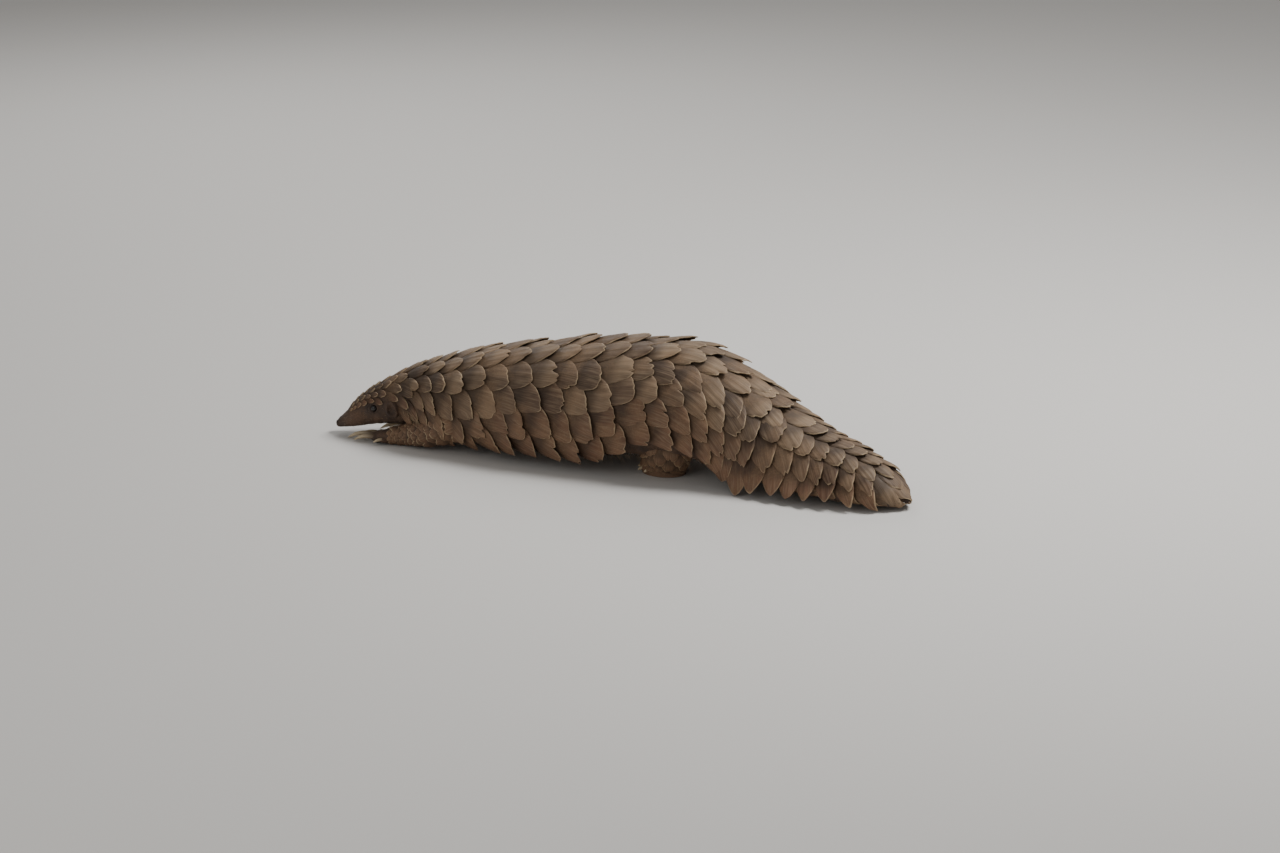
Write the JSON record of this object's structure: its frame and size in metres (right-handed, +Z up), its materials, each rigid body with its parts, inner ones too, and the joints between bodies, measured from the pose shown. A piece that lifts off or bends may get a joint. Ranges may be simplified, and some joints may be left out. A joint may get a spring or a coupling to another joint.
{
  "type": "pangolin",
  "caption": "Ground pangolin lying low with its nose to the ground, arched scaly back, stretched foreleg and broad bent tail.",
  "frame": {"origin": "floor level, at the middle of the animal's length and width", "axes": "+Z up, -X towards the head, +X towards the tail, -Y towards the animal's left side"},
  "size_m": [0.9253, 0.252, 0.1943],
  "materials": {
    "scales": "dull dry horn, grey-brown with pale worn edges",
    "hide": "bare dark grey-brown skin with sparse bristles",
    "claw": "pale worn horn",
    "eye": "wet and dark"
  },
  "bodies": {
    "root": {"eye_left": "eye", "eye_right": "eye", "ear_left": "hide", "ear_right": "hide", "head": "scales", "neck": "scales", "chest": "scales", "rump": "scales", "tail_root": "scales", "tail_middle": "scales", "tail_end": "scales", "foreleg_left": "hide", "foreleg_right": "hide", "hindleg_left": "hide", "hindleg_right": "hide", "claw_fore_left_inner": "claw", "claw_fore_left_second": "claw", "claw_fore_left_middle": "claw", "claw_fore_left_fourth": "claw", "claw_fore_left_outer": "claw", "claw_fore_right_inner": "claw", "claw_fore_right_second": "claw", "claw_fore_right_middle": "claw", "claw_fore_right_fourth": "claw", "claw_fore_right_outer": "claw", "claw_hind_left_inner": "claw", "claw_hind_left_second": "claw", "claw_hind_left_middle": "claw", "claw_hind_left_fourth": "claw", "claw_hind_left_outer": "claw", "claw_hind_right_inner": "claw", "claw_hind_right_second": "claw", "claw_hind_right_middle": "claw", "claw_hind_right_fourth": "claw", "claw_hind_right_outer": "claw"}
  },
  "joints": []
}
